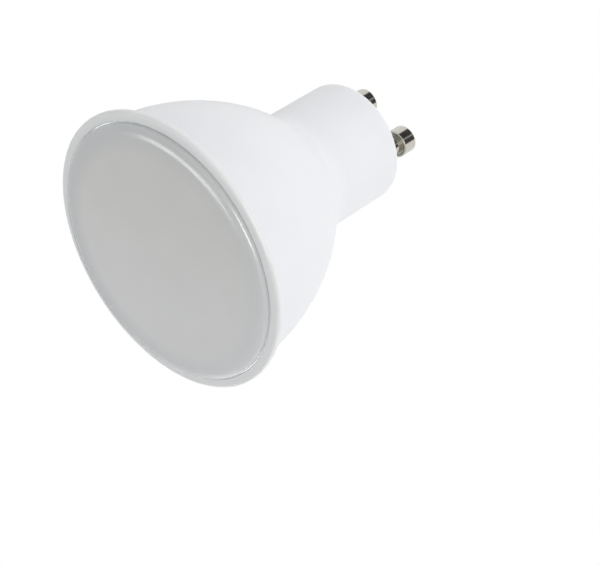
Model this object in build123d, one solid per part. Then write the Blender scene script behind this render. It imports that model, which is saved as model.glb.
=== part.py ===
"""LED spotlight bulb with a twist-lock cap of two pins, 10 mm apart.

Millimetres. The lamp stands on its light face: z = 0 is the front of the diffuser,
+Z runs along the lamp's axis to the contact pins, and the pins lie on the X axis.
"""
from build123d import *
import math
import os

# Outer form of the housing
rim_d = 50.0
diffuser_proud = 1.3
rim_t = 1.3
rim_edge_r = 0.5
rim_root_r = 0.4
rim_face_w = 1.8
mouth_edge_r = 0.2
rim_ledge_w = 1.7
bell_arc_r = 40.7
bell_arc_lift = 0.6
bell_blend_r = 8.0
neck_d = 22.2
neck_edge_r = 1.25
cap_face_z = 49.55
cap_bevel_h = 2.3
cap_face_d = 15.8
cap_edge_r = 0.5

# Walls of the housing and what is moulded inside it
wall = 1.4
end_wall = 2.5
rail_depth = 1.7
rail_t = 1.0
rail_grip = 8.5

# Diffuser
diffuser_gap = 0.1
diffuser_t = 1.0
diffuser_seat = 1.3
shoulder_near_r = 3.5
shoulder_far_r = 0.85
shoulder_turn = 30.0
skirt_gap = 0.25
skirt_t = 1.1
hook_count = 6
hook_angle = 22.0
hook_length = 2.8
barb_h = 0.45
barb_w = 0.8
barb_gap = 0.15

# Heat sink cup
cup_gap = 0.15
cup_t = 2.0
cup_hook_gap = 0.3
cup_lip_t = 1.0
cup_floor_gap = 1.4
cup_floor_t = 1.6
cup_hole_d = 16.0
boss_d = 5.2
boss_length = 9.0
boss_bore_depth = 6.0

# LED board
board_gap = 0.2
board_t = 1.0
board_recess = 2.1
board_hole_d = 5.2
notch_d = 2.4

# Diodes on the board
chip_count = 8
chip_inset = 9.0
chip_l = 3.5
chip_w = 2.8
chip_h = 0.8
chip_window_d = 2.2
chip_window_depth = 0.15

# Board screws
screw_inset = 4.0
screw_d = 2.0
screw_gap = 0.1
screw_length = 5.0
screw_head_d = 4.0
screw_head_h = 1.3
screw_slot_w = 0.5
screw_slot_l = 2.4
screw_slot_depth = 0.6

# Driver board, upright in the neck
driver_t = 1.0
driver_length = 17.5
driver_gap = 0.1
driver_edge_gap = 0.9
driver_end_gap = 4.55

# Contact pins
pin_spacing = 10.0
pin_head_d = 5.0
pin_head_h = 2.95
pin_stand = 7.75
pin_neck_d = 3.2
pin_collar_d = 4.2
pin_collar_h = 0.9
pin_shank_d = 3.0
pin_shank_gap = 0.05
pin_rivet_d = 4.4
pin_rivet_h = 0.5
pin_bore_d = 1.5
pin_bore_depth = 4.5
pin_edge_r = 0.3
pin_under_edge_r = 0.12

# Leads: thickness, gap to the board, and how far each end runs along what it joins
lead_d = 1.1
led_lead_d = 1.0
lead_gap = 0.15
mains_lead_inset = 2.5
mains_lead_overlap = 3.3
mains_lead_rise = 0.5
mains_lead_dip = 0.8
mains_lead_seat = 2.2
led_lead_x = 4.6
led_lead_overlap = 4.4
led_lead_tail = 0.8
led_lead_drop = 5.2
led_lead_reach = 3.2
led_lead_edge = 0.9
solder_d = 2.2
solder_h = 1.0
solder_edge_r = 0.5

# Electrolytic cans
input_cap_d = 6.3
input_cap_l = 11.0
input_cap_rise = 4.0
output_cap_d = 8.0
output_cap_l = 11.5
output_cap_rise = 5.3
can_edge_r = 0.4
can_groove_start = 1.2
can_groove_w = 0.8
can_groove_depth = 0.35
vent_w = 0.25
vent_depth = 0.2
vent_share = 0.6
leg_d = 0.6
leg_tail = 0.9
leg_pitch = 2.5

# Inductor, on its drum core
inductor_d = 8.0
inductor_h = 6.5
inductor_flange_t = 1.0
inductor_core_d = 4.0
inductor_x = -1.5
inductor_drop = 4.7
winding_inset = 0.5

# Moulded parts on the driver board: sizes along X, Y and Z, and the middle's place
bridge_size = (4.7, 2.4, 3.9)
bridge_rise = 2.1
chip_size = (3.9, 1.4, 4.9)
chip_x = 5.4
chip_drop = 5.0
package_edge = 0.25
foot_w = 0.4
foot_t = 0.2
foot_out = 0.6
foot_h = 0.8
diode_size = (2.6, 2.2, 4.3)
diode_x = -6.0
diode_drop = 7.2
diode_tab_w = 1.6
diode_tab_l = 0.8

# Fusible resistor and chip resistors
fuse_d = 2.4
fuse_l = 6.3
fuse_x = 6.0
fuse_drop = 8.8
fuse_edge_r = 0.3
fuse_bulge = 0.25
fuse_bulge_l = 1.4
fuse_tail = 0.7
resistor_size = (1.6, 0.6, 3.2)
resistor_gap = 0.2
resistor_shift = 0.8

# Values worked out from the ones above
rim_z = diffuser_proud
rim_back_z = rim_z + rim_t
mouth_r = rim_d / 2 - rim_face_w
bell_centre_x = rim_d / 2 - rim_ledge_w - bell_arc_r
bell_centre_z = rim_z + bell_arc_lift
neck_r = neck_d / 2
neck_inner_r = neck_r - wall
neck_end_z = cap_face_z - cap_bevel_h
blend_centre_x = neck_r + bell_blend_r
blend_centre_z = bell_centre_z + math.sqrt(
    (bell_arc_r + bell_blend_r) ** 2 - (blend_centre_x - bell_centre_x) ** 2
)
cap_inner_z = cap_face_z - end_wall
ledge_z = rim_z + diffuser_seat
skirt_top_z = ledge_z + hook_length
cup_rim_z = skirt_top_z + cup_hook_gap
board_face_z = cup_rim_z + board_recess
board_back_z = board_face_z + board_t
pin_top_z = cap_face_z + pin_stand
driver_half_w = neck_inner_r - driver_edge_gap
driver_end_z = cap_inner_z - driver_end_gap
driver_start_z = driver_end_z - driver_length
rail_start_z = driver_end_z - rail_grip
cup_floor_back_z = driver_start_z - cup_floor_gap
cup_floor_z = cup_floor_back_z - cup_floor_t


def turned(outline):
    """Turn a closed outline, drawn as radius and height, about the lamp's axis."""
    return revolve(Plane.XZ * outline, Axis.Z)


def rounded(outline, place, radius):
    """Round the corner of an outline that lies nearest to a place."""
    return fillet(outline.vertices().sort_by_distance(place)[0], radius)


def arc(centre, radius, start, end):
    """Arc about a centre from one angle to another, in degrees."""
    return CenterArc(centre, radius, start, end - start)


def bell_radius(z, inset=0.0):
    """Radius of the bell's main arc at a height, for a surface set inside the outer one."""
    return bell_centre_x + math.sqrt((bell_arc_r - inset) ** 2 - (z - bell_centre_z) ** 2)


def pocket_radius():
    """Radius of the cup's pocket for the LED board, inside the cup's lip."""
    return bell_radius(board_back_z, wall + cup_gap) - cup_lip_t


def board_radius():
    """Radius of the LED board, which drops into the cup's pocket."""
    return pocket_radius() - board_gap


def bell_curve(inset, start_z, end_z):
    """Bell arc, blend and straight neck as one chain, set inside the outer surface."""
    arc_r = bell_arc_r - inset
    blend_r = bell_blend_r + inset
    rise = blend_centre_z - bell_centre_z
    run = blend_centre_x - bell_centre_x
    joint_angle = math.degrees(math.atan2(rise, run))
    start_angle = math.degrees(math.asin((start_z - bell_centre_z) / arc_r))
    bell = arc((bell_centre_x, bell_centre_z), arc_r, start_angle, joint_angle)
    blend = arc((blend_centre_x, blend_centre_z), blend_r, joint_angle + 180, 180)
    side = Line((neck_r - inset, blend_centre_z), (neck_r - inset, end_z))
    return [bell, blend, side]


def ring(outer_r, inner_r, low_z, high_z):
    """Plain ring between two radii and two heights."""
    body = Cylinder(outer_r, high_z - low_z, align=(Align.CENTER, Align.CENTER, Align.MIN))
    bore = Cylinder(inner_r, high_z - low_z, align=(Align.CENTER, Align.CENTER, Align.MIN))
    return Pos(0, 0, low_z) * (body - bore)


def disc(radius, low_z, high_z, x=0.0, y=0.0):
    """Round disc or post on the lamp's axis direction."""
    body = Cylinder(radius, high_z - low_z, align=(Align.CENTER, Align.CENTER, Align.MIN))
    return Pos(x, y, low_z) * body


def block(x_size, y_size, z_size, x, y, z):
    """Rectangular block by its size and its centre."""
    return Pos(x, y, z) * Box(x_size, y_size, z_size)


def housing_shell():
    """Rim, bell, neck, bevelled cap end and the hollow inside them, as one turned shell."""
    rim = Polyline(
        (0, rim_z),
        (rim_d / 2, rim_z),
        (rim_d / 2, rim_back_z),
        (bell_radius(rim_back_z), rim_back_z),
    )
    bell = bell_curve(0.0, rim_back_z, neck_end_z)
    cap = Polyline(
        (neck_r, neck_end_z),
        (cap_face_d / 2, cap_face_z),
        (0, cap_face_z),
        (0, rim_z),
    )
    outline = make_face([rim, *bell, cap])
    outline = rounded(outline, (rim_d / 2, rim_z), rim_edge_r)
    outline = rounded(outline, (rim_d / 2, rim_back_z), rim_edge_r)
    outline = rounded(outline, (bell_radius(rim_back_z), rim_back_z), rim_root_r)
    outline = rounded(outline, (neck_r, neck_end_z), neck_edge_r)
    outline = rounded(outline, (cap_face_d / 2, cap_face_z), cap_edge_r)
    inner = bell_curve(wall, ledge_z, cap_inner_z)
    end = Polyline(
        (neck_inner_r, cap_inner_z),
        (0, cap_inner_z),
        (0, ledge_z),
        (bell_radius(ledge_z, wall), ledge_z),
    )
    hollow = turned(make_face([*inner, end]))
    mouth = disc(mouth_r, rim_z, ledge_z)
    body = turned(outline) - hollow - mouth
    inner_edge = body.edges().filter_by(GeomType.CIRCLE).filter_by(
        lambda edge: abs(edge.radius - mouth_r) < 1e-6 and edge.center().Z < ledge_z - 1e-6
    )
    return fillet(inner_edge, mouth_edge_r)


def barb_z():
    """Height of the middle of the diffuser's barbs."""
    return skirt_top_z - barb_w


def housing():
    """Shell with the snap groove, the rails for the driver board and the pin holes."""
    body = housing_shell()
    groove_half = barb_w / 2 + barb_gap
    groove_r = bell_radius(barb_z(), wall) - skirt_gap + barb_h + barb_gap
    body -= ring(groove_r, neck_r, barb_z() - groove_half, barb_z() + groove_half)
    rail_length = cap_inner_z - rail_start_z
    rail_z = (cap_inner_z + rail_start_z) / 2
    rail_w = rail_depth + wall / 2
    rail_x = neck_inner_r - rail_depth + rail_w / 2
    rail_y = driver_t / 2 + driver_gap + rail_t / 2
    stop_length = cap_inner_z - driver_end_z - driver_gap
    stop_z = cap_inner_z - stop_length / 2
    neck_core = disc(neck_inner_r + wall / 2, rail_start_z, cap_inner_z)
    hole_r = pin_shank_d / 2 + pin_shank_gap
    for side in (-1, 1):
        rails = block(rail_w, rail_t, rail_length, side * rail_x, rail_y, rail_z)
        rails += block(rail_w, rail_t, rail_length, side * rail_x, -rail_y, rail_z)
        rails += block(rail_w, 2 * rail_y, stop_length, side * rail_x, 0, stop_z)
        body += rails & neck_core
        body -= disc(hole_r, cap_inner_z, cap_face_z, x=side * pin_spacing / 2)
    return body


def diffuser():
    """Milky pan: flat front, shoulder of two arcs, bearing rim and snap hooks."""
    outer_r = mouth_r - diffuser_gap
    skirt_r = bell_radius(ledge_z, wall) - skirt_gap
    skirt_inner_r = skirt_r - skirt_t
    step = shoulder_near_r - shoulder_far_r
    far_r = outer_r - shoulder_far_r
    flat_r = far_r - step * math.sin(math.radians(shoulder_turn))
    far_z = shoulder_near_r - step * math.cos(math.radians(shoulder_turn))
    near = arc((flat_r, shoulder_near_r), shoulder_near_r, 270, 270 + shoulder_turn)
    far = arc((far_r, far_z), shoulder_far_r, 270 + shoulder_turn, 360)
    back = Polyline(
        (outer_r, far_z),
        (outer_r, ledge_z),
        (skirt_inner_r, ledge_z),
        (skirt_inner_r, diffuser_t),
        (0, diffuser_t),
        (0, 0),
        (flat_r, 0),
    )
    pan = turned(make_face([near, far, back]))
    half_angle = hook_angle / 2
    barb_low = barb_z() - barb_w / 2
    barb_high = barb_z() + barb_w / 2
    hook_face = make_face(
        Polyline(
            (skirt_inner_r, ledge_z),
            (skirt_r, ledge_z),
            (skirt_r, barb_low),
            (skirt_r + barb_h, barb_low + barb_h / 2),
            (skirt_r + barb_h / 2, barb_high),
            (skirt_r - skirt_t / 3, skirt_top_z),
            (skirt_inner_r, skirt_top_z),
            (skirt_inner_r, ledge_z),
        )
    )
    hook = revolve(Plane.XZ * hook_face, Axis.Z, revolution_arc=hook_angle)
    for number in range(hook_count):
        pan += Rot(0, 0, number * 360 / hook_count - half_angle) * hook
    return pan


def screw_places():
    """Centres of the two board screws."""
    return [(0, side * (board_radius() - screw_inset)) for side in (-1, 1)]


def heat_sink_cup():
    """Cast cup: wall against the bell, ledge for the board, two bosses, open floor."""
    outer_inset = wall + cup_gap
    inner_inset = outer_inset + cup_t
    centre = (bell_centre_x, bell_centre_z)

    def wall_arc(inset, start_z, end_z):
        radius = bell_arc_r - inset
        start = math.degrees(math.asin((start_z - bell_centre_z) / radius))
        end = math.degrees(math.asin((end_z - bell_centre_z) / radius))
        return arc(centre, radius, start, end)

    outer = wall_arc(outer_inset, cup_rim_z, cup_floor_back_z)
    floor = Polyline(
        outer @ 1,
        (cup_hole_d / 2, cup_floor_back_z),
        (cup_hole_d / 2, cup_floor_z),
        (bell_radius(cup_floor_z, inner_inset), cup_floor_z),
    )
    inner = wall_arc(inner_inset, cup_floor_z, board_back_z)
    pocket = Polyline(
        inner @ 1,
        (pocket_radius(), board_back_z),
        (pocket_radius(), cup_rim_z),
        outer @ 0,
    )
    body = turned(make_face([outer, floor, inner, pocket]))
    side = wall_arc(outer_inset, board_back_z, cup_floor_back_z)
    middle = Polyline(side @ 1, (0, cup_floor_back_z), (0, board_back_z), side @ 0)
    envelope = turned(make_face([side, middle]))
    bore_r = screw_d / 2 + screw_gap
    for x, y in screw_places():
        boss = disc(boss_d / 2, board_back_z, board_back_z + boss_length, x, y)
        web_y = math.copysign(abs(y) + boss_d / 2, y)
        web_z = board_back_z + boss_length / 2
        boss += block(boss_d / 2, boss_d, boss_length, x, web_y, web_z)
        body += boss & envelope
        body -= disc(bore_r, board_back_z, board_back_z + boss_bore_depth, x, y)
    return body


def led_board():
    """Round aluminium-cored board with the wire hole, screw holes and two edge notches."""
    body = disc(board_radius(), board_face_z, board_back_z)
    body -= disc(board_hole_d / 2, board_face_z, board_back_z)
    for x, y in screw_places():
        body -= disc(screw_d / 2 + screw_gap, board_face_z, board_back_z, x, y)
    for side in (-1, 1):
        body -= disc(notch_d / 2, board_face_z, board_back_z, x=side * board_radius())
    return body


def led_chips():
    """Ring of like diodes, each with a shallow dished window, on the board's light side."""
    window = disc(chip_window_d / 2, 0, chip_window_depth)
    one = Pos(0, 0, chip_h / 2) * Box(chip_w, chip_l, chip_h) - window
    chips = []
    for number in range(chip_count):
        turn = (number + 0.5) * 360 / chip_count
        ring_r = board_radius() - chip_inset
        place = Rot(0, 0, turn) * Pos(ring_r, 0, board_face_z - chip_h)
        chips.append(place * one)
    return Compound(children=chips)


def board_screws():
    """Two pan-head screws with cross recesses."""
    screws = []
    for x, y in screw_places():
        head = disc(screw_head_d / 2, board_face_z - screw_head_h, board_face_z)
        head = fillet(head.edges().group_by(Axis.Z)[0], screw_head_h / 2)
        recess_z = board_face_z - screw_head_h + screw_slot_depth / 2
        head -= block(screw_slot_l, screw_slot_w, screw_slot_depth, 0, 0, recess_z)
        head -= block(screw_slot_w, screw_slot_l, screw_slot_depth, 0, 0, recess_z)
        shank = disc(screw_d / 2, board_face_z, board_face_z + screw_length)
        tip = shank.edges().group_by(Axis.Z)[-1]
        shank = chamfer(tip, screw_d / 4)
        screws.append(Pos(x, y, 0) * (head + shank))
    return Compound(children=screws)


def driver_board():
    """Upright board held by its edges in the housing's rails."""
    length = driver_end_z - driver_start_z
    middle = (driver_end_z + driver_start_z) / 2
    return block(2 * driver_half_w, driver_t, length, 0, 0, middle)


def contact_pin(side):
    """Turned pin: mushroom head, neck, collar on the cap, shank and riveted inner end."""
    head_z = pin_top_z - pin_head_h
    rivet_z = cap_inner_z - pin_rivet_h
    bore_end_z = rivet_z + pin_bore_depth
    outline = make_face(
        Polyline(
            (0, bore_end_z),
            (pin_bore_d / 2, bore_end_z),
            (pin_bore_d / 2, rivet_z),
            (pin_rivet_d / 2, rivet_z),
            (pin_rivet_d / 2, cap_inner_z),
            (pin_shank_d / 2, cap_inner_z),
            (pin_shank_d / 2, cap_face_z),
            (pin_collar_d / 2, cap_face_z),
            (pin_collar_d / 2, cap_face_z + pin_collar_h),
            (pin_neck_d / 2, cap_face_z + pin_collar_h),
            (pin_neck_d / 2, head_z),
            (pin_head_d / 2, head_z),
            (pin_head_d / 2, pin_top_z),
            (0, pin_top_z),
            (0, bore_end_z),
        )
    )
    outline = rounded(outline, (pin_head_d / 2, pin_top_z), pin_edge_r)
    outline = rounded(outline, (pin_head_d / 2, head_z), pin_under_edge_r)
    return Pos(side * pin_spacing / 2, 0, 0) * turned(outline)


def wire(points, diameter):
    """Round wire along straight runs joined by arcs as large as the runs allow."""
    vectors = [Vector(*point) for point in points]
    radii = []
    for before, here, after in zip(vectors, vectors[1:], vectors[2:]):
        turn = math.radians((here - before).get_angle(after - here))
        shorter = min((here - before).length, (after - here).length)
        radii.append(0.45 * shorter / math.tan(turn / 2))
    path = FilletPolyline(*points, radius=radii)
    section = Plane(origin=path @ 0, z_dir=path % 0) * Circle(diameter / 2)
    body = sweep(section, path=path)
    expected = math.pi * diameter**2 / 4 * path.length
    shown = ", ".join(f"{radius:.1f}" for radius in radii)
    print(f"wire radii {shown}; length {path.length:.1f}; volume {body.volume / expected:.4f}")
    return body


def mains_lead_points(side):
    """Route from the driver board's face up into the hollow contact pin."""
    x = side * (driver_half_w - mains_lead_inset)
    y = driver_t / 2 + lead_d / 2 + lead_gap
    pin_x = side * pin_spacing / 2
    return [
        (x, y, driver_end_z - mains_lead_overlap),
        (x, y, driver_end_z + mains_lead_rise),
        (pin_x, 0, cap_inner_z - mains_lead_dip),
        (pin_x, 0, cap_inner_z + mains_lead_seat),
    ]


def led_lead_points(side):
    """Route from the driver board down through the LED board and over onto its pad."""
    y = driver_t / 2 + led_lead_d / 2 + lead_gap
    pad_z = board_face_z - led_lead_d / 2 - lead_gap
    hole_x = side * (board_hole_d / 2 - led_lead_d / 2 - led_lead_edge)
    return [
        (side * led_lead_x, y, driver_start_z + led_lead_overlap),
        (side * led_lead_x, y, driver_start_z - led_lead_tail),
        (hole_x, 0, board_back_z + led_lead_drop),
        (hole_x, 0, pad_z),
        (hole_x + side * led_lead_reach, 0, pad_z),
    ]


def mains_lead(side):
    """Lead from the driver board to a contact pin."""
    return wire(mains_lead_points(side), lead_d)


def led_lead(side):
    """Lead from the driver board to the LED board."""
    return wire(led_lead_points(side), led_lead_d)


def solder_joints():
    """Beads of solder that hold the ends of the four leads to the two boards."""
    bead = disc(solder_d / 2, 0, solder_h)
    bead = chamfer(bead.edges().group_by(Axis.Z)[-1], solder_edge_r)
    beads = []
    for side in (-1, 1):
        mains_x, _, mains_z = mains_lead_points(side)[0]
        led_x, _, led_z = led_lead_points(side)[0]
        pad_x = led_lead_points(side)[-1][0]
        on_driver = Rot(-90, 0, 0) * bead
        mains = Pos(mains_x, driver_t / 2, mains_z) * on_driver
        led = Pos(led_x, driver_t / 2, led_z) * on_driver
        pad = Pos(pad_x, 0, board_face_z) * Rot(180, 0, 0) * bead
        beads.append(mains - mains_lead(side))
        beads.append(led - led_lead(side))
        beads.append(pad - led_lead(side))
    return Compound(children=beads)


def electrolytic(diameter, length, board_drop):
    """Sleeved can standing on z = 0, with its crimp groove, vent score and two bent legs.

    The legs come out of its base and bend towards -Y, as far as the board's face.
    """
    can = disc(diameter / 2, 0, length)
    can = chamfer(can.edges().group_by(Axis.Z)[-1], can_edge_r)
    groove_end = can_groove_start + can_groove_w
    can -= ring(diameter / 2, diameter / 2 - can_groove_depth, can_groove_start, groove_end)
    score_l = diameter * vent_share
    score_z = length - vent_depth / 2
    can -= block(score_l, vent_w, vent_depth, 0, 0, score_z)
    can -= block(vent_w, score_l, vent_depth, 0, 0, score_z)
    for side in (-1, 1):
        x = side * leg_pitch / 2
        points = [(x, 0, leg_tail), (x, 0, -leg_tail), (x, -board_drop, -leg_tail)]
        can += wire(points, leg_d)
    return can


def on_back(y_size):
    """Middle of a part that lies against the driver board's -Y face."""
    return -(driver_t + y_size) / 2


def on_front(y_size):
    """Middle of a part that lies against the driver board's +Y face."""
    return (driver_t + y_size) / 2


def input_capacitor():
    """Can that lies along X on the driver board's -Y face."""
    can = electrolytic(input_cap_d, input_cap_l, input_cap_d / 2)
    lying = Rot(0, 0, 180) * Rot(0, 90, 0) * Pos(0, 0, -input_cap_l / 2) * can
    return Pos(0, on_back(input_cap_d), driver_start_z + input_cap_rise) * lying


def output_capacitor():
    """Can that stands along the axis on the driver board's +Y face."""
    can = electrolytic(output_cap_d, output_cap_l, output_cap_d / 2)
    return Pos(0, on_front(output_cap_d), driver_start_z + output_cap_rise) * can


def inductor_place():
    """Stands a part on the driver board's -Y face, at the inductor's place."""
    return Pos(inductor_x, -driver_t / 2, driver_end_z - inductor_drop) * Rot(90, 0, 0)


def inductor_core():
    """Ferrite drum, its axis square to the board."""
    core = disc(inductor_core_d / 2, 0, inductor_h)
    core += disc(inductor_d / 2, 0, inductor_flange_t)
    core += disc(inductor_d / 2, inductor_h - inductor_flange_t, inductor_h)
    return inductor_place() * core


def inductor_winding():
    """Enamelled wire that fills the drum between its flanges."""
    high = inductor_h - inductor_flange_t
    outer = inductor_d / 2 - winding_inset
    return inductor_place() * ring(outer, inductor_core_d / 2, inductor_flange_t, high)


def leaded_chip(size, x, y, z, per_side):
    """Moulded package with bent feet along its two long sides."""
    x_size, y_size, z_size = size
    inward = math.copysign(1, y)
    body = block(x_size, y_size, z_size, 0, 0, 0)
    body = chamfer(body.edges().filter_by(Axis.Z), package_edge)
    pitch = z_size / per_side
    foot_y = inward * (foot_t - y_size) / 2
    leg_y = inward * (foot_h - y_size) / 2
    for number in range(per_side):
        foot_z = (number + 0.5) * pitch - z_size / 2
        for side in (-1, 1):
            foot_x = side * (x_size + foot_out) / 2
            body += block(foot_out, foot_t, foot_w, foot_x, foot_y, foot_z)
            body += block(foot_t, foot_h, foot_w, side * x_size / 2, leg_y, foot_z)
    return Pos(x, y, z) * body


def bridge_rectifier():
    """Four-footed package at the driver board's light end."""
    z = driver_start_z + bridge_rise
    return leaded_chip(bridge_size, 0, on_front(bridge_size[1]), z, 2)


def driver_chip():
    """Eight-footed package beside the inductor."""
    return leaded_chip(chip_size, chip_x, on_back(chip_size[1]), driver_end_z - chip_drop, 4)


def freewheel_diode():
    """Moulded diode with folded end tabs."""
    x_size, y_size, z_size = diode_size
    body = block(x_size, y_size, z_size, 0, 0, 0)
    body = chamfer(body.edges().filter_by(Axis.X), package_edge)
    for end in (-1, 1):
        tab_y = (foot_t - y_size) / 2
        body += block(diode_tab_w, foot_t, diode_tab_l, 0, tab_y, end * z_size / 2)
    return Pos(diode_x, on_front(y_size), driver_end_z - diode_drop) * body


def fuse_resistor():
    """Fusible resistor: ceramic body with bulged ends and its two legs bent to the board."""
    y = driver_t / 2 + fuse_d / 2 + fuse_bulge + lead_gap
    body = disc(fuse_d / 2, -fuse_l / 2, fuse_l / 2)
    leg_z = fuse_l / 2 + fuse_tail
    for end in (-1, 1):
        bulge_z = end * (fuse_l - fuse_bulge_l) / 2
        bulge = disc(fuse_d / 2 + fuse_bulge, -fuse_bulge_l / 2, fuse_bulge_l / 2)
        bulge = chamfer(bulge.edges().filter_by(GeomType.CIRCLE), fuse_edge_r)
        body += Pos(0, 0, bulge_z) * bulge
        points = [(0, 0, bulge_z), (0, 0, end * leg_z), (0, driver_t / 2 - y, end * leg_z)]
        body += wire(points, leg_d)
    return Pos(fuse_x, y, driver_end_z - fuse_drop) * body


def chip_resistors():
    """Six like chip resistors beside the larger parts."""
    x_size, y_size, z_size = resistor_size
    edge_x = driver_half_w - x_size / 2 - resistor_gap
    low_z = driver_start_z + z_size / 2 + resistor_gap
    high_z = low_z + z_size + 3 * resistor_gap
    chips = []
    for side in (-1, 1):
        places = [
            (side * edge_x, on_back(y_size), low_z),
            (side * edge_x, on_back(y_size), high_z),
            (side * (edge_x - resistor_shift), on_front(y_size), low_z),
        ]
        chips += [block(*resistor_size, *place) for place in places]
    return Compound(children=chips)


def main():
    os.makedirs("parts", exist_ok=True)
    parts = {
        "housing": housing(),
        "diffuser": diffuser(),
        "contact_pin_live": contact_pin(1),
        "contact_pin_neutral": contact_pin(-1),
        "heat_sink_cup": heat_sink_cup(),
        "led_board": led_board(),
        "led_chips": led_chips(),
        "board_screws": board_screws(),
        "driver_board": driver_board(),
        "input_capacitor": input_capacitor(),
        "output_capacitor": output_capacitor(),
        "inductor_core": inductor_core(),
        "inductor_winding": inductor_winding(),
        "bridge_rectifier": bridge_rectifier(),
        "driver_chip": driver_chip(),
        "fuse_resistor": fuse_resistor(),
        "freewheel_diode": freewheel_diode(),
        "chip_resistors": chip_resistors(),
        "live_lead": mains_lead(1),
        "neutral_lead": mains_lead(-1),
        "led_lead_positive": led_lead(1),
        "led_lead_negative": led_lead(-1),
        "solder_joints": solder_joints(),
    }
    for name, shape in parts.items():
        export_step(shape, f"parts/{name}.step")


main()
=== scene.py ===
import math

import bpy
from mathutils import Matrix, Vector


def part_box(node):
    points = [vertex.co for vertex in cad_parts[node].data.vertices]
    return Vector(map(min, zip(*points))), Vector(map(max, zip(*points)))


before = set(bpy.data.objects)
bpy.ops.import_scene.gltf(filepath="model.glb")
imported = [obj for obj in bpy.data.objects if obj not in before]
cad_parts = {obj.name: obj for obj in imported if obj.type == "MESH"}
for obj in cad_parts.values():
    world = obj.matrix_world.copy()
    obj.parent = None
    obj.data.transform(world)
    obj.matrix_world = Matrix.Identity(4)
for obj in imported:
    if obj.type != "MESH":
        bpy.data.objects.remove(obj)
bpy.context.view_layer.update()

# Housing
# One injection moulding in white plastic: rim, bell, neck, bevelled cap end and end wall.
# The mould is spark eroded, so the skin is an even satin, a little glossier where the
# plastic set first. The two contact pins are riveted through the end wall.


def feed(tree, node, inputs):
    """Set or link inputs of a node."""
    for name, value in inputs.items():
        socket = node.inputs[name]
        if isinstance(value, bpy.types.NodeSocket):
            tree.links.new(value, socket)
        else:
            socket.default_value = value


def add(tree, kind, inputs=None, **settings):
    """Add a shader node with its settings, and feed its inputs."""
    node = tree.nodes.new("ShaderNode" + kind)
    for name, value in settings.items():
        setattr(node, name, value)
    feed(tree, node, inputs or {})
    return node


def maths(tree, operation, *values):
    """Result of one maths node."""
    return add(tree, "Math", dict(enumerate(values)), operation=operation).outputs[0]


def mix(tree, factor, first, second):
    """Mix of two colours or two numbers, the second one where the factor is 1."""
    pair = (first, second)
    coloured = any(isinstance(value, tuple) or getattr(value, "type", "") == "RGBA" for value in pair)
    inputs = {"Factor": factor, "A": first, "B": second}
    return add(tree, "Mix", inputs, data_type="RGBA" if coloured else "FLOAT").outputs["Result"]


def tinted(tree, colour, tint):
    """A colour times a tint."""
    inputs = {"Factor": 1.0, "A": colour, "B": tint}
    return add(tree, "Mix", inputs, data_type="RGBA", blend_type="MULTIPLY").outputs["Result"]


def raised(tree, height, scale=1.0):
    """Relief of a surface, from a height and its scale in metres."""
    return add(tree, "Bump", {"Height": height, "Strength": 1.0, "Distance": scale}).outputs["Normal"]


def effect(name, inputs, outputs):
    """Shader node group with named inputs and outputs: its tree, its inputs, its outputs."""
    tree = bpy.data.node_groups.new(name, "ShaderNodeTree")
    for label, value in inputs.items():
        kind = "NodeSocketColor" if isinstance(value, tuple) else "NodeSocketFloat"
        socket = tree.interface.new_socket(label, in_out="INPUT", socket_type=kind)
        socket.default_value = value
    for label, kind in outputs.items():
        tree.interface.new_socket(label, in_out="OUTPUT", socket_type="NodeSocket" + kind)
    return tree, tree.nodes.new("NodeGroupInput").outputs, tree.nodes.new("NodeGroupOutput").inputs


def use(tree, group, **inputs):
    """Outputs of a node group, given values for its inputs, with _ for a space in a name."""
    node = tree.nodes.new("ShaderNodeGroup")
    node.node_tree = group
    feed(tree, node, {label.replace("_", " "): value for label, value in inputs.items()})
    return node.outputs


def skin_group():
    """Skin of a surface: a slow drift in colour and roughness, and a fine grain in relief."""
    tree, given, result = effect(
        "skin",
        {
            "Light": (0.8, 0.8, 0.8, 1.0),
            "Dark": (0.7, 0.7, 0.7, 1.0),
            "Smooth": 0.3,
            "Rough": 0.4,
            "Drift": 0.015,
            "Grain": 0.0001,
            "Height": 0.000002,
        },
        {"Colour": "Color", "Roughness": "Float", "Normal": "Vector"},
    )
    place = add(tree, "TexCoord").outputs["Object"]
    slow = maths(tree, "DIVIDE", 1.0, given["Drift"])
    drift = add(tree, "TexNoise", {"Vector": place, "Scale": slow, "Detail": 4.0}).outputs["Fac"]
    spread = {"Value": drift, "From Min": 0.35, "From Max": 0.65}
    share = add(tree, "MapRange", spread).outputs["Result"]
    fine = maths(tree, "DIVIDE", 1.0, given["Grain"])
    grain = add(tree, "TexNoise", {"Vector": place, "Scale": fine, "Detail": 3.0}).outputs["Fac"]
    tree.links.new(mix(tree, share, given["Dark"], given["Light"]), result["Colour"])
    tree.links.new(mix(tree, share, given["Smooth"], given["Rough"]), result["Roughness"])
    tree.links.new(raised(tree, grain, given["Height"]), result["Normal"])
    return tree


skin = skin_group()


def material(name, **sockets):
    """Material with one Principled shader, whose own sockets hold what is the same all over."""
    made = bpy.data.materials.new(name)
    made.use_nodes = True
    tree = made.node_tree
    tree.nodes.clear()
    named = {label.replace("_", " "): value for label, value in sockets.items()}
    shader = add(tree, "BsdfPrincipled", named)
    add(tree, "OutputMaterial", {"Surface": shader.outputs["BSDF"]})
    return made, tree, shader


def coat(tree, shader, finish, colour=None):
    """Give a shader the roughness and relief of a finish, and its colour or another one."""
    base = finish["Colour"] if colour is None else colour
    feed(tree, shader, {"Base Color": base, "Roughness": finish["Roughness"], "Normal": finish["Normal"]})


def dress(node, made):
    """Give a CAD node its material."""
    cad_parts[node].material_slots[0].material = made


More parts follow.
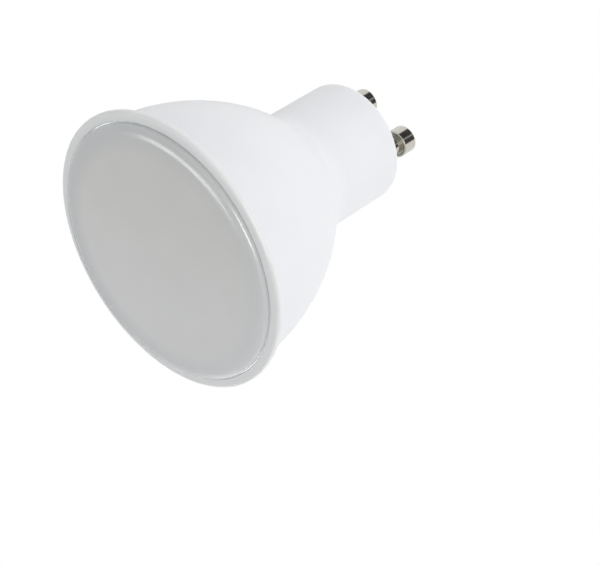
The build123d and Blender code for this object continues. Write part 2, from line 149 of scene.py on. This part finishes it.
def band_group():
    """Mask of the stretch between two values, with soft ends."""
    tree, given, result = effect(
        "band", {"Value": 0.0, "Low": 0.0, "High": 1.0, "Soft": 0.00005}, {"Mask": "Float"}
    )

    def step(edge, falling):
        ends = {
            "Value": given["Value"],
            "From Min": maths(tree, "SUBTRACT", edge, given["Soft"]),
            "From Max": maths(tree, "ADD", edge, given["Soft"]),
            "To Min": float(falling),
            "To Max": float(not falling),
        }
        return add(tree, "MapRange", ends).outputs["Result"]

    both = maths(tree, "MULTIPLY", step(given["Low"], False), step(given["High"], True))
    tree.links.new(both, result["Mask"])
    return tree


band = band_group()


def between(tree, value, low=-1.0, high=1.0, soft=0.00005):
    """Mask of where a value lies between two others; a metre either way is past the lamp."""
    return use(tree, band, Value=value, Low=low, High=high, Soft=soft)["Mask"]


def axes_of(tree):
    """X, Y and Z of the surface, in metres."""
    place = add(tree, "TexCoord").outputs["Object"]
    return add(tree, "SeparateXYZ", {"Vector": place}).outputs


def distance(tree, first, second, first_centre=0.0, second_centre=0.0):
    """Distance in a plane from a centre, given the surface's two axes in that plane."""
    u = maths(tree, "SUBTRACT", first, first_centre)
    v = maths(tree, "SUBTRACT", second, second_centre)
    square = maths(tree, "ADD", maths(tree, "MULTIPLY", u, u), maths(tree, "MULTIPLY", v, v))
    return maths(tree, "SQRT", square)


rim_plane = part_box("housing")[0][2]
mouth_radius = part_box("diffuser")[1][0] + 0.0001
slot_wall = 0.003
slot_start = 0.00046
slot_end = 0.0018
lip_depth = 0.0016

made, tree, shader = material(
    "housing_plastic",
    IOR=1.46,
    Subsurface_Weight=0.3,
    Subsurface_Radius=(1.0, 1.0, 1.0),
    Subsurface_Scale=0.0006,
    Emission_Strength=1.0,
)
axes = axes_of(tree)
radius = distance(tree, axes["X"], axes["Y"])
# The slot round the diffuser is given a faint glow: painted light, in place of the light that a thin pale
# edge passes on.
wall = between(tree, radius, mouth_radius - slot_wall, mouth_radius + 0.00004, soft=0.00003)
slot = between(tree, axes["Z"], rim_plane + slot_start, rim_plane + slot_end, soft=0.0003)
painted_slot_glow = mix(tree, maths(tree, "MULTIPLY", wall, slot), (0, 0, 0, 1), (0.32, 0.32, 0.32, 1))
tree.links.new(painted_slot_glow, shader.inputs["Emission Color"])
finish = use(
    tree,
    skin,
    Light=(0.897, 0.913, 0.944, 1),
    Dark=(0.883, 0.898, 0.928, 1),
    Smooth=0.36,
    Rough=0.44,
    Drift=0.012,
    Grain=0.00012,
    Height=0.0000015,
)
# The lip is painted a little darker and warmer than the rest, as painted shade.
lip = between(tree, axes["Z"], high=rim_plane + lip_depth, soft=0.0007)
lip_shade = mix(tree, lip, (1, 1, 1, 1), (0.985, 0.985, 0.955, 1))
coat(tree, shader, finish, tinted(tree, finish["Colour"], lip_shade))
dress("housing", made)

# Diffuser
# A milky polycarbonate pan, moulded in one piece with six snap hooks on its skirt, and
# pressed into the mouth of the housing. What lies behind it shows through as faint tones:
# the pale board in the middle, and the skirt as a darker ring under the shoulder. Painted
# shade also darkens that ring far more on one side, and makes the face warmer and darker
# towards one side.


def across_face(tree, axes, x, y):
    """How far a place lies along one direction in the light face."""
    return maths(tree, "ADD", maths(tree, "MULTIPLY", axes["X"], x), maths(tree, "MULTIPLY", axes["Y"], y))


skirt_radius = 0.0198
skirt_start = 0.0004

made, tree, shader = material(
    "diffuser_plastic",
    IOR=1.5,
    Subsurface_Weight=0.7,
    Subsurface_Radius=(1.0, 0.95, 0.9),
    Subsurface_Scale=0.0012,
    Emission_Strength=1.0,
)
axes = axes_of(tree)
radius = distance(tree, axes["X"], axes["Y"])
finish = use(
    tree,
    skin,
    Light=(0.754, 0.757, 0.757, 1),
    Dark=(0.741, 0.742, 0.742, 1),
    Smooth=0.17,
    Rough=0.24,
    Drift=0.009,
    Grain=0.00008,
    Height=0.000001,
)
# Painted shade: the face is painted warmer and darker towards one side than towards the other.
painted_shade_lean = {"Value": across_face(tree, axes, 0.5, 0.87), "From Min": -0.02, "From Max": 0.014}
side = add(tree, "MapRange", painted_shade_lean, interpolation_type="SMOOTHSTEP").outputs["Result"]
depth = mix(tree, side, (0.945, 0.94, 0.915, 1), (1.02, 1.022, 1.022, 1))
side_shaded = tinted(tree, finish["Colour"], depth)
# The skirt shows through as a cooler ring, and painted shade makes that ring far greyer on one side than on
# the other.
skirt = between(tree, radius, low=skirt_radius, soft=0.0016)
cool = mix(tree, skirt, (1, 1, 1, 1), (0.98, 0.994, 1.012, 1))
shade_fade = {
    "Value": across_face(tree, axes, -0.906, 0.423),
    "From Min": -0.02,
    "From Max": 0.016,
    "To Min": 0.08,
    "To Max": 0.8,
}
grey = maths(tree, "MULTIPLY", skirt, add(tree, "MapRange", shade_fade).outputs["Result"])
coat(tree, shader, finish, mix(tree, grey, tinted(tree, side_shaded, cool), (0.61, 0.63, 0.645, 1)))
# The skirt's wall in the slot is given the same faint glow as the housing's: painted light.
painted_glow_zone = between(tree, axes["Z"], low=rim_plane + skirt_start, soft=0.0003)
painted_slot_glow = mix(tree, painted_glow_zone, (0, 0, 0, 1), (0.34, 0.34, 0.35, 1))
tree.links.new(painted_slot_glow, shader.inputs["Emission Color"])
dress("diffuser", made)

# Contact pins
# Turned brass with a bright nickel plate: a mushroom head on a thin neck, and a collar
# that seats on the cap's face. Fine turning marks run round each of them.


def turning_group():
    """Relief of a turned surface: fine rings round an axis, and a slow drift along them."""
    tree, given, result = effect(
        "turning",
        {"Centre X": 0.0, "Centre Y": 0.0, "Pitch": 0.00006, "Height": 0.0000005},
        {"Share": "Float", "Normal": "Vector"},
    )
    place = add(tree, "TexCoord").outputs["Object"]
    axes = add(tree, "SeparateXYZ", {"Vector": place}).outputs
    x = maths(tree, "SUBTRACT", maths(tree, "ABSOLUTE", axes["X"]), given["Centre X"])
    y = maths(tree, "SUBTRACT", maths(tree, "ABSOLUTE", axes["Y"]), given["Centre Y"])
    square = maths(tree, "ADD", maths(tree, "MULTIPLY", x, x), maths(tree, "MULTIPLY", y, y))
    radius = maths(tree, "DIVIDE", maths(tree, "SQRT", square), given["Pitch"])
    height = maths(tree, "DIVIDE", axes["Z"], given["Pitch"])
    along = add(tree, "CombineXYZ", {"X": radius, "Y": height}).outputs["Vector"]
    rings = add(tree, "TexNoise", {"Vector": along, "Scale": 1.0, "Detail": 2.0}).outputs["Fac"]
    slow = add(tree, "TexNoise", {"Vector": place, "Scale": 900.0, "Detail": 3.0}).outputs["Fac"]
    tree.links.new(mix(tree, 0.5, rings, slow), result["Share"])
    tree.links.new(raised(tree, rings, given["Height"]), result["Normal"])
    return tree


turning = turning_group()
pin_centre = 0.005
head_height = 0.00295
head_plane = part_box("contact_pin_live")[1][2] - head_height
flat_radius = 0.00238

made, tree, shader = material("pin_plating", Metallic=1.0)
marks = use(tree, turning, Centre_X=pin_centre, Pitch=0.00005, Height=0.0000004)
tree.links.new(marks["Normal"], shader.inputs["Normal"])
bright = mix(tree, marks["Share"], (0.53, 0.51, 0.465, 1), (0.63, 0.61, 0.56, 1))
axes = axes_of(tree)
radius = distance(tree, maths(tree, "ABSOLUTE", axes["X"]), axes["Y"], pin_centre)
# The flat under each head is painted darker and olive, a painted dark reflection, with the rings that the
# turning tool left.
under_head = between(tree, axes["Z"], head_plane - 0.0001, head_plane + 0.00003, soft=0.00002)
flat = between(tree, radius, 0.0, flat_radius, soft=0.00004)
ring_place = add(tree, "CombineXYZ", {"X": radius}).outputs["Vector"]
cuts = add(tree, "TexWave", {"Vector": ring_place, "Scale": 620.0, "Distortion": 0.6}).outputs["Fac"]
dark_reflected_rings = mix(tree, cuts, (0.21, 0.205, 0.16, 1), (0.56, 0.55, 0.46, 1))
tone = mix(tree, maths(tree, "MULTIPLY", under_head, flat), bright, dark_reflected_rings)
tree.links.new(tone, shader.inputs["Base Color"])
tree.links.new(mix(tree, marks["Share"], 0.12, 0.21), shader.inputs["Roughness"])
dress("contact_pin_live", made)
dress("contact_pin_neutral", made)

# Heat sink cup
# Die-cast aluminium, left as cast: a dull, slightly pitted skin. It fits against the inside
# of the bell, with two bosses for the screws that hold the board.

made, tree, shader = material("cast_aluminium", Metallic=1.0)
finish = use(
    tree,
    skin,
    Light=(0.74, 0.75, 0.76, 1),
    Dark=(0.62, 0.63, 0.64, 1),
    Smooth=0.42,
    Rough=0.58,
    Drift=0.004,
    Grain=0.0003,
    Height=0.00002,
)
coat(tree, shader, finish)
dress("heat_sink_cup", made)

# LED board
# Aluminium sheet with a printed layer on its light side: copper under a white solder mask,
# bare round the two screws. Its edge and back are plain rolled metal.

board_low, board_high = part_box("led_board")
screw_low, screw_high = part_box("board_screws")
screw_head_radius = 0.002
screw_offset = (screw_high[1] - screw_low[1]) / 2 - screw_head_radius
chip_inset = 0.009
chip_ring = board_high[1] - chip_inset
chip_count = 8
track_half = 0.0009
outer_track_start = 0.0138
outer_track_end = 0.0186
bare_radius = 0.0026
clear_radius = 0.0032
copper_height = 0.00004

made, tree, shader = material("board_mask")
axes = axes_of(tree)
radius = distance(tree, axes["X"], axes["Y"])
front = between(tree, axes["Z"], high=board_low[2] + 0.00005)
track = between(tree, radius, chip_ring - track_half, chip_ring + track_half)
outer_track = between(tree, radius, outer_track_start, outer_track_end)
beside_screw = distance(tree, axes["X"], maths(tree, "ABSOLUTE", axes["Y"]), 0.0, screw_offset)
bare = between(tree, beside_screw, 0.0, bare_radius)
clear = between(tree, beside_screw, 0.0, clear_radius)
copper = maths(tree, "MAXIMUM", track, maths(tree, "SUBTRACT", outer_track, clear))
masked = maths(tree, "MULTIPLY", front, maths(tree, "SUBTRACT", 1.0, bare))
rolled = add(tree, "Mapping", {"Vector": add(tree, "TexCoord").outputs["Object"], "Scale": (400, 9000, 400)})
streaks = add(tree, "TexNoise", {"Vector": rolled.outputs["Vector"], "Scale": 1.0}).outputs["Fac"]
metal = mix(tree, streaks, (0.62, 0.63, 0.64, 1), (0.78, 0.78, 0.79, 1))
paint = mix(tree, copper, (0.86, 0.86, 0.84, 1), (0.89, 0.885, 0.86, 1))
tree.links.new(mix(tree, masked, metal, paint), shader.inputs["Base Color"])
tree.links.new(mix(tree, masked, mix(tree, streaks, 0.28, 0.42), 0.32), shader.inputs["Roughness"])
tree.links.new(maths(tree, "SUBTRACT", 1.0, masked), shader.inputs["Metallic"])
relief = maths(tree, "MULTIPLY", maths(tree, "MULTIPLY", copper, masked), copper_height)
tree.links.new(raised(tree, relief), shader.inputs["Normal"])
dress("led_board", made)

# Diodes on the board
# Eight like surface-mounted diodes: a white resin frame, and in it a dished window of clear
# resin over the small red die.

window_radius = 0.00108
die_half = 0.0003

made, tree, shader = material("diode_body")
axes = axes_of(tree)
radius = distance(tree, axes["X"], axes["Y"])
turn = maths(tree, "ARCTAN2", axes["Y"], axes["X"])
step = 2 * math.pi / chip_count
local_turn = maths(tree, "SUBTRACT", maths(tree, "FLOORED_MODULO", turn, step), step / 2)
u = maths(tree, "SUBTRACT", maths(tree, "MULTIPLY", radius, maths(tree, "COSINE", local_turn)), chip_ring)
v = maths(tree, "MULTIPLY", radius, maths(tree, "SINE", local_turn))
window = between(tree, distance(tree, u, v), high=window_radius)
reach = maths(tree, "MAXIMUM", maths(tree, "ABSOLUTE", u), maths(tree, "ABSOLUTE", v))
die = between(tree, reach, high=die_half, soft=0.00002)
resin = mix(tree, die, (0.72, 0.60, 0.50, 1), (0.36, 0.03, 0.02, 1))
tree.links.new(mix(tree, window, (0.85, 0.84, 0.82, 1), resin), shader.inputs["Base Color"])
tree.links.new(mix(tree, window, 0.45, 0.08), shader.inputs["Roughness"])
dress("led_chips", made)

# Board screws
# Two pan-head screws with a cross recess, cold-headed in steel and zinc plated. They hold
# the board to the cup's bosses.

made, tree, shader = material("screw_steel", Metallic=1.0)
marks = use(tree, turning, Centre_Y=screw_offset, Pitch=0.00008, Height=0.000002)
tree.links.new(marks["Normal"], shader.inputs["Normal"])
tone = mix(tree, marks["Share"], (0.52, 0.53, 0.56, 1), (0.68, 0.68, 0.67, 1))
tree.links.new(tone, shader.inputs["Base Color"])
tree.links.new(mix(tree, marks["Share"], 0.22, 0.36), shader.inputs["Roughness"])
dress("board_screws", made)

# Driver board
# Glass laminate with copper areas under a green solder mask on both faces, and sawn edges
# where the pale laminate shows.

board_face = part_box("driver_board")[1][1]
area_height = 0.00003

made, tree, shader = material("driver_laminate", IOR=1.5)
axes = axes_of(tree)
depth = maths(tree, "ABSOLUTE", axes["Y"])
face = between(tree, depth, low=board_face - 0.00004, soft=0.00001)
flat = add(tree, "CombineXYZ", {"X": axes["X"], "Y": axes["Z"]}).outputs["Vector"]
areas = add(
    tree,
    "TexBrick",
    {"Vector": flat, "Scale": 170.0, "Mortar Size": 0.035, "Mortar Smooth": 0.1, "Brick Width": 0.9},
    offset=0.35,
    squash=1.6,
    squash_frequency=3,
)
gap = areas.outputs["Fac"]
cells = add(tree, "TexVoronoi", {"Vector": flat, "Scale": 420.0}).outputs["Distance"]
via = between(tree, cells, high=0.08, soft=0.01)
green = mix(tree, gap, (0.035, 0.25, 0.09, 1), (0.018, 0.12, 0.05, 1))
dotted = mix(tree, via, green, (0.55, 0.54, 0.50, 1))
weave = add(tree, "TexWave", {"Vector": flat, "Scale": 900.0, "Distortion": 1.0}).outputs["Fac"]
edge = mix(tree, weave, (0.42, 0.44, 0.26, 1), (0.56, 0.57, 0.38, 1))
tree.links.new(mix(tree, face, edge, dotted), shader.inputs["Base Color"])
tree.links.new(mix(tree, face, 0.7, mix(tree, gap, 0.24, 0.34)), shader.inputs["Roughness"])
relief = maths(tree, "MULTIPLY", maths(tree, "SUBTRACT", 1.0, gap), area_height)
tree.links.new(raised(tree, relief), shader.inputs["Normal"])
dress("driver_board", made)

# Electrolytic capacitors
# Aluminium cans in a shrunk plastic sleeve with a pale stripe down one side. The sleeve
# leaves the scored end bare, and the two legs are tinned wire.


def can_material(name, sleeve, stripe_colour, along_axis, along_base, along_top, stripe_of):
    """Sleeved can: dark sleeve with a stripe, bare metal beyond its two ends."""
    made, tree, shader = material(name)
    axes = axes_of(tree)
    body = between(tree, axes[along_axis], along_base, along_top, soft=0.00004)
    stripe = maths(tree, "MULTIPLY", stripe_of(tree, axes), 0.9)
    dark = mix(tree, stripe, sleeve, stripe_colour)
    drift = add(tree, "TexNoise", {"Vector": add(tree, "TexCoord").outputs["Object"], "Scale": 700.0})
    metal = mix(tree, drift.outputs["Fac"], (0.66, 0.66, 0.67, 1), (0.80, 0.80, 0.80, 1))
    tree.links.new(mix(tree, body, metal, dark), shader.inputs["Base Color"])
    tree.links.new(maths(tree, "SUBTRACT", 1.0, body), shader.inputs["Metallic"])
    shine = mix(tree, drift.outputs["Fac"], 0.18, 0.34)
    tree.links.new(shine, shader.inputs["Roughness"])
    return made


out_low, out_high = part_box("output_capacitor")
in_low, in_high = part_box("input_capacitor")
leg_reach = 0.0012
sleeve_end = 0.00025
output_stripe_half = 0.0011
input_stripe_half = 0.0009


def output_stripe(tree, axes):
    """Stripe down the side that faces away from the board."""
    away = between(tree, axes["Y"], low=(out_low[1] + out_high[1]) / 2)
    narrow = between(tree, axes["X"], -output_stripe_half, output_stripe_half)
    return maths(tree, "MULTIPLY", away, narrow)


def input_stripe(tree, axes):
    """Stripe down the side that faces away from the board."""
    away = between(tree, axes["Y"], high=(in_low[1] + in_high[1]) / 2)
    middle = (in_low[2] + in_high[2]) / 2
    narrow = between(tree, axes["Z"], middle - input_stripe_half, middle + input_stripe_half)
    return maths(tree, "MULTIPLY", away, narrow)


dress(
    "output_capacitor",
    can_material(
        "output_can",
        (0.012, 0.02, 0.05, 1),
        (0.55, 0.56, 0.58, 1),
        "Z",
        out_low[2] + leg_reach,
        out_high[2] - sleeve_end,
        output_stripe,
    ),
)
dress(
    "input_capacitor",
    can_material(
        "input_can",
        (0.02, 0.022, 0.025, 1),
        (0.60, 0.52, 0.30, 1),
        "X",
        in_low[0] + sleeve_end,
        in_high[0] - leg_reach,
        input_stripe,
    ),
)

# Inductor
# A drum of sintered ferrite, dark and slightly chalky, wound full of enamelled copper wire
# whose turns lie side by side.

made, tree, shader = material("ferrite")
finish = use(
    tree,
    skin,
    Light=(0.085, 0.085, 0.09, 1),
    Dark=(0.045, 0.045, 0.048, 1),
    Smooth=0.5,
    Rough=0.7,
    Drift=0.0008,
    Grain=0.00012,
    Height=0.000008,
)
coat(tree, shader, finish)
dress("inductor_core", made)

winding_low, winding_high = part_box("inductor_winding")
wire_turns = 9
wire_pitch = (winding_high[1] - winding_low[1]) / wire_turns

made, tree, shader = material("winding_copper", Metallic=1.0, Coat_Weight=0.6, Coat_Roughness=0.12)
axes = axes_of(tree)
turns = maths(tree, "DIVIDE", maths(tree, "SUBTRACT", axes["Y"], winding_low[1]), wire_pitch)
within = maths(tree, "ABSOLUTE", maths(tree, "SUBTRACT", maths(tree, "FRACT", turns), 0.5))
number = maths(tree, "FLOOR", turns)
shade = add(tree, "TexWhiteNoise", {"W": number}, noise_dimensions="1D").outputs["Value"]
bright = mix(tree, shade, (0.60, 0.24, 0.10, 1), (0.72, 0.33, 0.15, 1))
# Between the turns the wire is painted dark, as painted shade in the crease where two turns meet.
crease_shade = between(tree, within, low=0.4, soft=0.06)
tree.links.new(mix(tree, crease_shade, bright, (0.16, 0.05, 0.02, 1)), shader.inputs["Base Color"])
tree.links.new(mix(tree, crease_shade, 0.22, 0.5), shader.inputs["Roughness"])
crown = maths(tree, "SQRT", maths(tree, "SUBTRACT", 0.2501, maths(tree, "MULTIPLY", within, within)))
tree.links.new(raised(tree, crown, wire_pitch), shader.inputs["Normal"])
dress("inductor_winding", made)

# Moulded semiconductors
# Bridge rectifier, driver chip and diode: black epoxy, matt from the mould, with tinned
# feet. The diode has a pale band at its cathode end.


def moulded_black(name, node, axis, half_body, band_colour=None):
    """Black package with tinned metal beyond its body along one axis."""
    low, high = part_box(node)
    number = "XYZ".index(axis)
    middle = (low[number] + high[number]) / 2
    made, tree, shader = material(name)
    axes = axes_of(tree)
    offset = maths(tree, "SUBTRACT", axes[axis], middle)
    body = between(tree, maths(tree, "ABSOLUTE", offset), high=half_body, soft=0.00002)
    place = add(tree, "TexCoord").outputs["Object"]
    grain = add(tree, "TexNoise", {"Vector": place, "Scale": 9000.0, "Detail": 3.0}).outputs["Fac"]
    dark = mix(tree, grain, (0.018, 0.018, 0.019, 1), (0.034, 0.034, 0.035, 1))
    if band_colour:
        mark = between(tree, offset, half_body * 0.45, half_body * 0.75)
        dark = mix(tree, mark, dark, band_colour)
    tree.links.new(mix(tree, body, (0.70, 0.69, 0.66, 1), dark), shader.inputs["Base Color"])
    tree.links.new(maths(tree, "SUBTRACT", 1.0, body), shader.inputs["Metallic"])
    tree.links.new(mix(tree, body, 0.24, mix(tree, grain, 0.42, 0.56)), shader.inputs["Roughness"])
    tree.links.new(raised(tree, grain, 0.000004), shader.inputs["Normal"])
    dress(node, made)


moulded_black("bridge_black", "bridge_rectifier", "X", 0.00236)
moulded_black("chip_black", "driver_chip", "X", 0.00196)
moulded_black("diode_black", "freewheel_diode", "Z", 0.00216, (0.60, 0.60, 0.58, 1))

# Fusible resistor
# Ceramic rod with metal end caps under a baked grey-green lacquer, four painted bands, and
# tinned wire legs.

fuse_low, fuse_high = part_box("fuse_resistor")
fuse_middle = (fuse_low[2] + fuse_high[2]) / 2
rod_half = 0.00313
stripe_half = 0.0003

made, tree, shader = material("resistor_coat")
axes = axes_of(tree)
offset = maths(tree, "SUBTRACT", axes["Z"], fuse_middle)
place = add(tree, "TexCoord").outputs["Object"]
mottle = add(tree, "TexNoise", {"Vector": place, "Scale": 1500.0, "Detail": 3.0}).outputs["Fac"]
colour = mix(tree, mottle, (0.30, 0.42, 0.34, 1), (0.38, 0.50, 0.42, 1))
for height, paint in (
    (-0.0021, (0.30, 0.14, 0.05, 1)),
    (-0.0009, (0.02, 0.02, 0.02, 1)),
    (0.0003, (0.02, 0.02, 0.02, 1)),
    (0.0021, (0.55, 0.40, 0.10, 1)),
):
    stripe = between(tree, offset, height - stripe_half, height + stripe_half)
    colour = mix(tree, stripe, colour, paint)
along = maths(tree, "ABSOLUTE", offset)
body = between(tree, along, high=rod_half, soft=0.00002)
tree.links.new(mix(tree, body, (0.70, 0.69, 0.66, 1), colour), shader.inputs["Base Color"])
tree.links.new(maths(tree, "SUBTRACT", 1.0, body), shader.inputs["Metallic"])
tree.links.new(mix(tree, mottle, 0.22, 0.36), shader.inputs["Roughness"])
dress("fuse_resistor", made)

# Chip resistors
# Six like slabs of white ceramic with a black glazed face and tinned ends, which lie flat on
# the driver board.

rows_low, rows_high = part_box("chip_resistors")
slab = 0.0032
glazed_half = 0.0012
row_pitch = rows_high[2] - rows_low[2] - slab

made, tree, shader = material("resistor_glaze")
axes = axes_of(tree)
from_low = maths(tree, "SUBTRACT", axes["Z"], rows_low[2] - (row_pitch - slab) / 2)
local = maths(tree, "SUBTRACT", maths(tree, "FLOORED_MODULO", from_low, row_pitch), row_pitch / 2)
along = maths(tree, "ABSOLUTE", local)
end = between(tree, along, low=glazed_half, soft=0.00003)
top = between(tree, maths(tree, "ABSOLUTE", axes["Y"]), low=rows_high[1] - 0.00006, soft=0.00002)
slab_colour = mix(tree, top, (0.78, 0.77, 0.74, 1), (0.012, 0.012, 0.013, 1))
tree.links.new(mix(tree, end, slab_colour, (0.70, 0.69, 0.66, 1)), shader.inputs["Base Color"])
tree.links.new(end, shader.inputs["Metallic"])
tree.links.new(mix(tree, top, 0.5, 0.16), shader.inputs["Roughness"])
dress("chip_resistors", made)

# Leads
# Stranded wire in coloured extruded insulation: two go up into the hollow pins and two go
# down to the LED board.


def lead_material(name, light, dark):
    """Insulation with a soft sheen and faint dusty patches."""
    made, tree, shader = material(name, IOR=1.5)
    finish = use(
        tree,
        skin,
        Light=light,
        Dark=dark,
        Smooth=0.26,
        Rough=0.40,
        Drift=0.0012,
        Grain=0.00006,
        Height=0.000002,
    )
    coat(tree, shader, finish)
    return made


lead_red = lead_material("lead_red", (0.56, 0.03, 0.025, 1), (0.46, 0.02, 0.02, 1))
dress("live_lead", lead_red)
dress("led_lead_positive", lead_red)
dress("neutral_lead", lead_material("lead_white", (0.82, 0.82, 0.80, 1), (0.74, 0.74, 0.71, 1)))
dress("led_lead_negative", lead_material("lead_black", (0.03, 0.03, 0.032, 1), (0.018, 0.018, 0.02, 1)))

# Solder joints
# Beads of tin solder that hold the leads to the boards. They set bright, with faintly
# frosted patches where they cooled last.

made, tree, shader = material("solder_tin", Metallic=1.0)
finish = use(
    tree,
    skin,
    Light=(0.76, 0.76, 0.75, 1),
    Dark=(0.62, 0.62, 0.61, 1),
    Smooth=0.12,
    Rough=0.34,
    Drift=0.0006,
    Grain=0.0001,
    Height=0.000005,
)
coat(tree, shader, finish)
dress("solder_joints", made)

# Floor
# A plain pale sheet just under the lamp. It is open to view and to light from below, because
# the photograph looks up at the face that the lamp stands on. Rays that start within a few
# millimetres of it pass through as well, so that it doesn't shade that face.


def lay(name, places, panels, made):
    """Thin sheet of one material, put in the scene."""
    sheet = bpy.data.meshes.new(name)
    sheet.from_pydata(places, [], panels)
    sheet.materials.append(made)
    laid = bpy.data.objects.new(name, sheet)
    bpy.context.scene.collection.objects.link(laid)
    return laid


def square(middle, right, ahead, half):
    """Corners of a square round its middle, with its sides along two directions."""
    return [middle + (right * u + ahead * v) * half for u, v in ((-1, -1), (1, -1), (1, 1), (-1, 1))]


floor_half = 3.0
floor_height = -0.0001
floor_clear = 0.004

made, tree, shader = material("floor_paint", Base_Color=(0.9, 0.9, 0.9, 1), Roughness=0.6)
path = add(tree, "LightPath").outputs
near = maths(tree, "LESS_THAN", path["Ray Length"], floor_clear)
under = maths(tree, "MAXIMUM", add(tree, "NewGeometry").outputs["Backfacing"], path["Is Shadow Ray"])
open_share = maths(tree, "MAXIMUM", under, near)
clear = add(tree, "BsdfTransparent").outputs["BSDF"]
sheer = add(tree, "MixShader", {0: open_share, 1: shader.outputs["BSDF"], 2: clear})
output = [node for node in tree.nodes if node.type == "OUTPUT_MATERIAL"][0]
tree.links.new(sheer.outputs["Shader"], output.inputs["Surface"])
corners = square(Vector((0, 0, floor_height)), Vector((1, 0, 0)), Vector((0, 1, 0)), floor_half)
floor = lay("floor", corners, [(0, 1, 2, 3)], made)

# World
# The plain white ground of the photograph. It is white to the eye, in reflections and
# through clear things, and a weaker fill for everything else.

fill_level = 0.636

world = bpy.data.worlds.new("studio")
bpy.context.scene.world = world
world.use_nodes = True
tree = world.node_tree
tree.nodes.clear()
path = add(tree, "LightPath").outputs
seen = maths(tree, "MAXIMUM", path["Is Camera Ray"], path["Is Glossy Ray"])
plain = maths(tree, "MAXIMUM", seen, path["Is Transmission Ray"])
fill = add(tree, "Background", {"Color": (1, 1, 1, 1), "Strength": fill_level}).outputs["Background"]
white = add(tree, "Background", {"Color": (1, 1, 1, 1), "Strength": 1.0}).outputs["Background"]
sky = add(tree, "MixShader", {0: plain, 1: fill, 2: white}).outputs["Shader"]
add(tree, "OutputWorld", {"Surface": sky})

# Camera
# At the photograph's angle: below the light face and to one side, rolled so that the
# contact pins point to the upper right.

camera_place = Vector((0.094897, -0.233092, -0.165403))
camera_aim = Vector((0.016918, 0.0, 0.016886))
camera_up = Vector((-0.687816, -0.575785, 0.442019))
back = (camera_place - camera_aim).normalized()
across = camera_up.cross(back).normalized()
upward = back.cross(across)
lens = bpy.data.cameras.new("camera")
lens.lens = 110.8
lens.sensor_width = 36.0
lens.clip_start = 0.01
camera = bpy.data.objects.new("camera", lens)
facing = Matrix((across, upward, back)).transposed()
camera.matrix_world = Matrix.Translation(camera_place) @ facing.to_4x4()
bpy.context.scene.collection.objects.link(camera)
bpy.context.scene.camera = camera
bpy.context.scene.view_settings.view_transform = "Standard"

# Lamps
# Soft boxes round the lamp, each aimed at its middle and placed by the camera's own
# directions: to its right, above it and towards it. Two strips that only reflections see
# draw the two bright lines along the shoulder of the diffuser.

lamp_middle = Vector((0, 0, 0.028))
box_distance = 0.6


def by_camera(right, above, towards):
    """Direction in the scene, given in the camera's own directions."""
    return (across * right + upward * above + back * towards).normalized()


def soft_box(name, place, power, sides=(0.5, 0.5), along=None):
    """Area light in one direction from the lamp, aimed at its middle.

    A light with its long side laid along a direction is a strip that only reflections see.
    """
    direction = by_camera(*place)
    light = bpy.data.lights.new(name, "AREA")
    light.shape = "RECTANGLE"
    light.size, light.size_y = sides
    light.energy = power
    lamp = bpy.data.objects.new(name, light)
    lamp.location = lamp_middle + direction * box_distance
    lamp.rotation_mode = "QUATERNION"
    lamp.rotation_quaternion = direction.to_track_quat("Z", "Y")
    if along:
        side = direction.cross(by_camera(*along)).normalized()
        turned = Matrix((side.cross(direction), side, direction)).transposed()
        lamp.rotation_quaternion = turned.to_quaternion()
        lamp.visible_diffuse = False
    lamp.visible_camera = False
    bpy.context.scene.collection.objects.link(lamp)


soft_box("right_front", (0.8, 0.0, 0.6), 1.01)
soft_box("right_above", (0.7, 0.7, 0.1), 0.466)
soft_box("behind_below", (0.0, -0.75, -0.65), 0.7)
soft_box("left_strip", (-0.92, -0.32, 0.245), 1.1, (0.36, 0.17), (0.45, -0.41, 0.79))
soft_box("front_strip", (0.278, -0.223, 0.934), 3.4, (0.34, 0.2), (0.32, -0.55, -0.3))

# Black card
# A curved black card round the camera's side of the pins, above them, with a narrow grey leaf
# in it. Only reflections see it: it gives the plating its dark band and the streak in that.


def matt(name, tone):
    """Material of a matt card in one grey."""
    return material(name, Base_Color=(tone, tone, tone, 1), Roughness=1.0, Specular_IOR_Level=0.0)[0]


def only_reflected(card):
    """Leave a card to reflections alone."""
    card.visible_camera = False
    card.visible_diffuse = False
    card.visible_transmission = False
    card.visible_shadow = False


card_radius = 0.5
card_middle = Vector((0, 0, 0.053))
card_low = math.radians(18)
card_high = math.radians(56)
card_steps = 12

for name, start, end, tone in (
    ("card_left", -128.0, -70.0, 0.055),
    ("card_middle", -70.0, -58.0, 0.5),
    ("card_right", -58.0, -20.0, 0.055),
):
    places = []
    for step in range(card_steps + 1):
        turn = math.radians(start + (end - start) * step / card_steps)
        for rise in (card_low, card_high):
            flat = math.cos(rise)
            out = Vector((flat * math.cos(turn), flat * math.sin(turn), math.sin(rise)))
            places.append(card_middle + out * card_radius)
    panels = [(2 * step, 2 * step + 1, 2 * step + 3, 2 * step + 2) for step in range(card_steps)]
    card = lay(name, places, panels, matt(name, tone))
    only_reflected(card)

# Grey card
# A flat grey card straight behind the lamp, seen from the camera, and again only in
# reflections: it keeps the far edge of the diffuser from shining white.

card_half = 0.2
card_distance = 0.5

card_place = lamp_middle + by_camera(-0.25, 0.0, -1.0) * card_distance
corners = square(card_place, across, upward, card_half)
card = lay("card_behind", corners, [(0, 1, 2, 3)], matt("card_grey", 0.25))
only_reflected(card)
